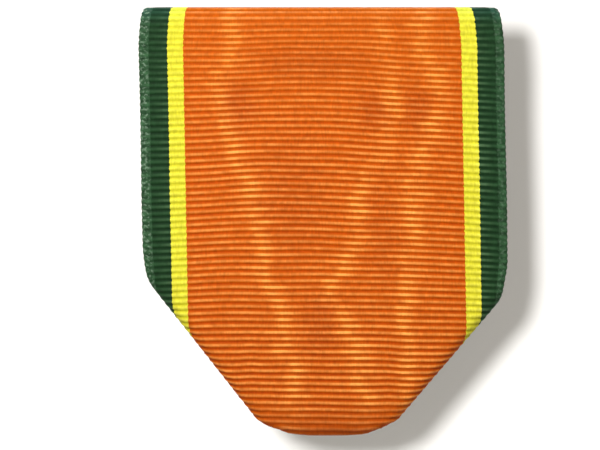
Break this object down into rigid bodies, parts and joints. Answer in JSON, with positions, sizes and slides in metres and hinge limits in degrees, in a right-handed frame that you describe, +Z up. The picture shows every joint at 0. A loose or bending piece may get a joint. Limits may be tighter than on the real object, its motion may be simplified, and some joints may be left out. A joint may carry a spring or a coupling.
{
  "type": "medal ribbon drape with pin brooch",
  "caption": "Pentagonal striped ribbon drape looped over a slotted brooch, with a hinged pin, a turning safety catch and a bottom loop for a medal's ring.",
  "frame": {"origin": "on the axis of the closed pin stem, half way along the brooch", "axes": "+Z up as worn, +X to the right of someone looking at the front, -Y out of the front of the ribbon, +Y towards the wearer"},
  "size_m": [0.035, 0.0066, 0.0413],
  "materials": {
    "ribbon_cloth": "watered corded ribbon, orange with yellow and green edges",
    "seam_thread": "orange polyester sewing thread",
    "flap_thread": "orange polyester sewing thread",
    "plate_brass": "stamped and gilt, satin, lightly worn",
    "fitting_brass": "satin",
    "pin_nickel": "drawn and polished nickel silver"
  },
  "bodies": {
    "brooch": {"brooch_plate": "plate_brass", "joint_bracket": "fitting_brass", "joint_rivet": "pin_nickel", "catch_body": "fitting_brass"},
    "pin": {"pin_stem": "pin_nickel"},
    "catch": {"catch_rotor": "pin_nickel"},
    "drape": {"ribbon": "ribbon_cloth", "upper_seam_thread": "seam_thread", "lower_seam_thread": "seam_thread", "left_flap_thread": "flap_thread", "right_flap_thread": "flap_thread"}
  },
  "joints": [
    {"name": "pin_swing", "type": "hinge", "parent": "brooch", "child": "pin", "pos_m": [-0.013, 0, 0], "axis": [0, 0, 1], "range_deg": [0, 110]},
    {"name": "catch_turn", "type": "hinge", "parent": "brooch", "child": "catch", "pos_m": [0.012, 0, 0], "axis": [1, 0, 0], "range_deg": [0, 85]},
    {"name": "drape_swing", "type": "hinge", "parent": "brooch", "child": "drape", "pos_m": [0, -0.0032, 0.0057], "axis": [-1, 0, 0], "range_deg": [0, 40]}
  ]
}
